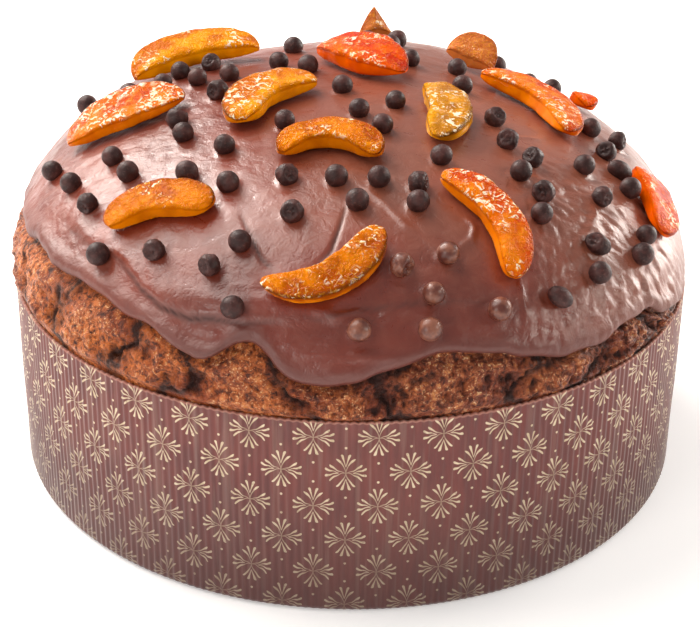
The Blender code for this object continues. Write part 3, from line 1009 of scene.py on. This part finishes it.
def on_slice(piece, along, across, lift):
    """Places on the dome of points of a slice, lifted off the glaze."""
    start = seen_from_above(piece[0] * MM, piece[1] * MM)
    normal = dome_normal(start)
    right = unit(np.array((1.0, 0, 0)) - normal * normal[0])
    up = np.cross(normal, right)
    heading = math.radians(piece[2])
    ahead = right * math.cos(heading) + up * math.sin(heading)
    left = up * math.cos(heading) - right * math.sin(heading)
    u, v = bent(piece, along, across)
    flat = dome_point(start) + ahead * u[..., None] + left * v[..., None]
    directions = unit(flat - DOME_MIDDLE)
    return dome_point(directions) + dome_normal(directions) * lift[..., None]


def orange_line(piece):
    along = np.arange(-8, 9) / 10
    return on_slice(piece, along, np.zeros(17), np.zeros(17))


def make_slices():
    materials = {}
    for number, (piece, look) in enumerate(zip(ORANGE, ORANGE_LOOKS), 1):
        key = look[:2]
        if key not in materials:
            materials[key] = candied_orange(f"{look[0]}_{len(materials) + 1}", *key)
        make_slice(f"slice_{number:02d}", f"orange_{number:02d}", piece, look, materials[key], number)


def make_slice(name, node, piece, look, material, seed):
    """A bent slice with a flat underside, a flatter sugared top and a smooth glowing side."""
    width, thickness, lean = piece[5] * MM, piece[6] * MM, math.radians(piece[7])
    bluntness, taper, peak = look[2:]
    along = np.sin(np.linspace(-QUARTER, QUARTER, ORANGE_ALONG)) * ORANGE_END
    turn = np.arange(ORANGE_AROUND) / ORANGE_AROUND * 2 * math.pi
    along, turn = np.meshgrid(along, turn, indexing="ij")
    side = np.sign(np.cos(turn)) * np.abs(np.cos(turn)) ** (2 / SQUARENESS)
    height = np.sign(np.sin(turn)) * np.abs(np.sin(turn)) ** (2 / SQUARENESS)
    blunt = (1 - np.abs(along) ** bluntness) ** 0.5
    outer = side * -math.copysign(1, piece[4])
    local = np.stack((along * piece[3] / 2, side * piece[5] / 2, height * 3), axis=-1).reshape(-1, 3)
    dents = rough(local, (4.0, 3.0, 3.0), 3, seed).reshape(along.shape)
    bends = rough(local, (11.0, 11.0, 11.0), 2, seed + 20).reshape(along.shape)
    top = smooth_step(height, 0.1, 0.9)
    below, above = thickness * BELOW_SHARE, thickness * ABOVE_SHARE
    uneven = 1 - 0.20 * top * (1 - outer ** 2) + top * (0.10 * dents + 0.12 * bends)
    rise = np.minimum(uneven, 1) * (1 - peak * np.abs(along))
    across = side * width / 2 * blunt * (1 + taper * along + 0.05 * dents + 0.10 * bends)
    lift = below + np.where(height > 0, height * above * rise, height * below) * blunt
    swung = across * math.cos(lean)
    raised = np.minimum(np.maximum(0, across + width / 2), width) * math.sin(lean)
    leaning = raised * blunt * (1 - peak * np.abs(along))
    points = on_slice(piece, along, swung, lift + leaning + ORANGE_GAP).reshape(-1, 3)
    faces = capped(ring_faces(*along.shape), *along.shape)
    add_piece(name, points, faces, material, "candied_orange", [node], top=top, outer=outer)


# Painted glow: a bright copy of each tone for the glowing side, a deeper copy for the top, and the rind
# edge, as on screen.
TONES = {
    "amber": (srgb(242, 152, 0), srgb(194, 94, 0), srgb(104, 54, 0)),
    "dark_amber": (srgb(222, 122, 0), srgb(166, 72, 0), srgb(84, 40, 0)),
    "honey": (srgb(228, 152, 2), srgb(164, 98, 0), srgb(80, 52, 0)),
    "orange": (srgb(234, 124, 0), srgb(196, 66, 0), srgb(120, 38, 0)),
    "red_orange": (srgb(232, 94, 0), srgb(192, 44, 0), srgb(112, 24, 0)),
    "peach": (srgb(198, 112, 50), srgb(158, 76, 30), srgb(112, 52, 22)),
}


def candied_orange(name, tone, frost_and_glint):
    bright, deep, rind = TONES[tone]
    nodes = Nodes(f"candied_{name}")
    m = nodes.math
    cloud = nodes.noise(0.007, 2.0, 0.5)
    fine = nodes.noise(0.0019, 3.0, 0.6, distortion=1.0)
    veins = nodes.cell_edges(0.0017)
    top = nodes.attribute("top")
    outer = nodes.attribute("outer")
    on_top = nodes.fit(top, 0.35, 0.9)
    # Painted glow: brighter in clouds and on the inner side, deeper on the top toward the rind.
    glow = m("SUBTRACT", nodes.fit(cloud, 0.34, 0.64), m("MULTIPLY", top, 0.15))
    colour = nodes.mix(m("MAXIMUM", glow, 0.0), deep, bright)
    colour = nodes.mix(nodes.fit(outer, -0.9, 0.0, 0.55, 0.0), colour, bright)
    colour = nodes.mix(m("MULTIPLY", nodes.fit(outer, 0.0, 0.9), m("MULTIPLY", top, 0.7)), colour, deep)
    edge = m("MULTIPLY", nodes.fit(outer, 0.70, 0.98), nodes.fit(top, 0.3, 0.9))
    colour = nodes.mix(m("MULTIPLY", edge, 0.85), colour, rind)
    where = nodes.fit(nodes.noise(0.010, 2.0, 0.5), 0.60 - 0.28 * frost_and_glint, 0.72 - 0.2 * frost_and_glint)
    pulp = m("MULTIPLY", on_top, nodes.fit(fine, 0.44, 0.58))
    pulp = m("MULTIPLY", nodes.fit(veins, 0.02, 0.12, 1.0, 0.0), pulp)
    pulp = m("MULTIPLY", pulp, m("ADD", m("MULTIPLY", where, 0.4), 0.2))
    colour = nodes.mix(pulp, colour, srgb(255, 190, 40))
    # Pale flecks on the top: partly sugar, partly painted glints.
    sugar_and_glints = nodes.fit(fine, 0.60 - 0.10 * frost_and_glint, 0.63 - 0.07 * frost_and_glint)
    sugar_and_glints = m("MULTIPLY", sugar_and_glints, m("MULTIPLY", on_top, where))
    colour = nodes.mix(m("MULTIPLY", sugar_and_glints, 0.9), colour, srgb(255, 242, 216))
    relief = m("MULTIPLY", fine, nodes.fit(top, 0.2, 0.9, 0.05, 1.0))
    nodes.shade(
        base_color=colour,
        roughness=nodes.fit(fine, 0.35, 0.65, 0.08, 0.16),
        specular_ior_level=0.04 + 0.08 * frost_and_glint,
        subsurface_weight=0.15,
        subsurface_radius=(1.0, 0.35, 0.05),
        subsurface_scale=0.003,
        normal=nodes.bump(m("ADD", relief, m("MULTIPLY", cloud, 0.3)), 0.0010 + 0.0014 * frost_and_glint, 0.9),
    )
    return nodes.material


# The stage


def make_floor():
    bpy.ops.mesh.primitive_plane_add(size=FLOOR_SIZE, location=(0, 0, 0))
    floor = bpy.context.object
    floor.name = "floor"
    nodes = Nodes("pale_floor")
    nodes.shade(
        base_color=(0.9, 0.9, 0.9, 1),
        roughness=0.9,
        specular_ior_level=0.1,
        emission_color=(1, 1, 1, 1),
        emission_strength=FLOOR_GLOW,
    )
    floor.data.materials.append(nodes.material)


def make_lights():
    world = bpy.data.worlds.new("studio")
    world.use_nodes = True
    background = world.node_tree.nodes["Background"]
    background.inputs["Color"].default_value = (1, 1, 1, 1)
    background.inputs["Strength"].default_value = WORLD_LIGHT
    bpy.context.scene.world = world
    add_light("key", (-0.75, 0.83, 0.75), 0.8, 11, (1.0, 0.93, 0.86))
    add_light("upper", (-0.69, 0.35, 1.09), 1.35, 21, (1.0, 0.94, 0.88))
    add_light("spark", (-0.50, 0.66, 0.92), 0.06, 2.2, (1.0, 0.95, 0.9))
    add_light("left", (-0.80, -1.00, 0.50), 0.6, 4.5, (1.0, 0.95, 0.9))
    add_light("right", (1.05, -0.35, 0.55), 0.3, 3, (1.0, 0.92, 0.82))
    add_light("side", (0.98, 0.70, 0.22), 0.8, 16, (1.0, 0.94, 0.87))


def add_light(name, place, size, watts, colour):
    data = bpy.data.lights.new(name, "AREA")
    data.shape = "DISK"
    data.size = size
    data.energy = watts
    data.color = colour
    light = bpy.data.objects.new(name, data)
    light.location = place
    aim = CAMERA_TARGET - Vector(place)
    light.rotation_mode = "QUATERNION"
    light.rotation_quaternion = aim.to_track_quat("-Z", "Y")
    bpy.context.scene.collection.objects.link(light)


def make_camera():
    data = bpy.data.cameras.new("camera")
    data.lens = CAMERA_LENS_MM
    data.sensor_width = 36
    data.clip_start = 0.01
    camera = bpy.data.objects.new("camera", data)
    bpy.context.scene.collection.objects.link(camera)
    flat = math.cos(CAMERA_ELEVATION)
    east, north = math.sin(CAMERA_AZIMUTH) * flat, -math.cos(CAMERA_AZIMUTH) * flat
    back = Vector((east, north, math.sin(CAMERA_ELEVATION)))
    level = back.cross(Vector((0, 0, 1))) * -1
    level.normalize()
    upward = back.cross(level)
    right = level * math.cos(CAMERA_ROLL) + upward * math.sin(CAMERA_ROLL)
    up = upward * math.cos(CAMERA_ROLL) - level * math.sin(CAMERA_ROLL)
    turn = Matrix((right, up, back)).transposed()
    camera.matrix_world = Matrix.Translation(CAMERA_TARGET + back * CAMERA_DISTANCE) @ turn.to_4x4()
    return camera


main()
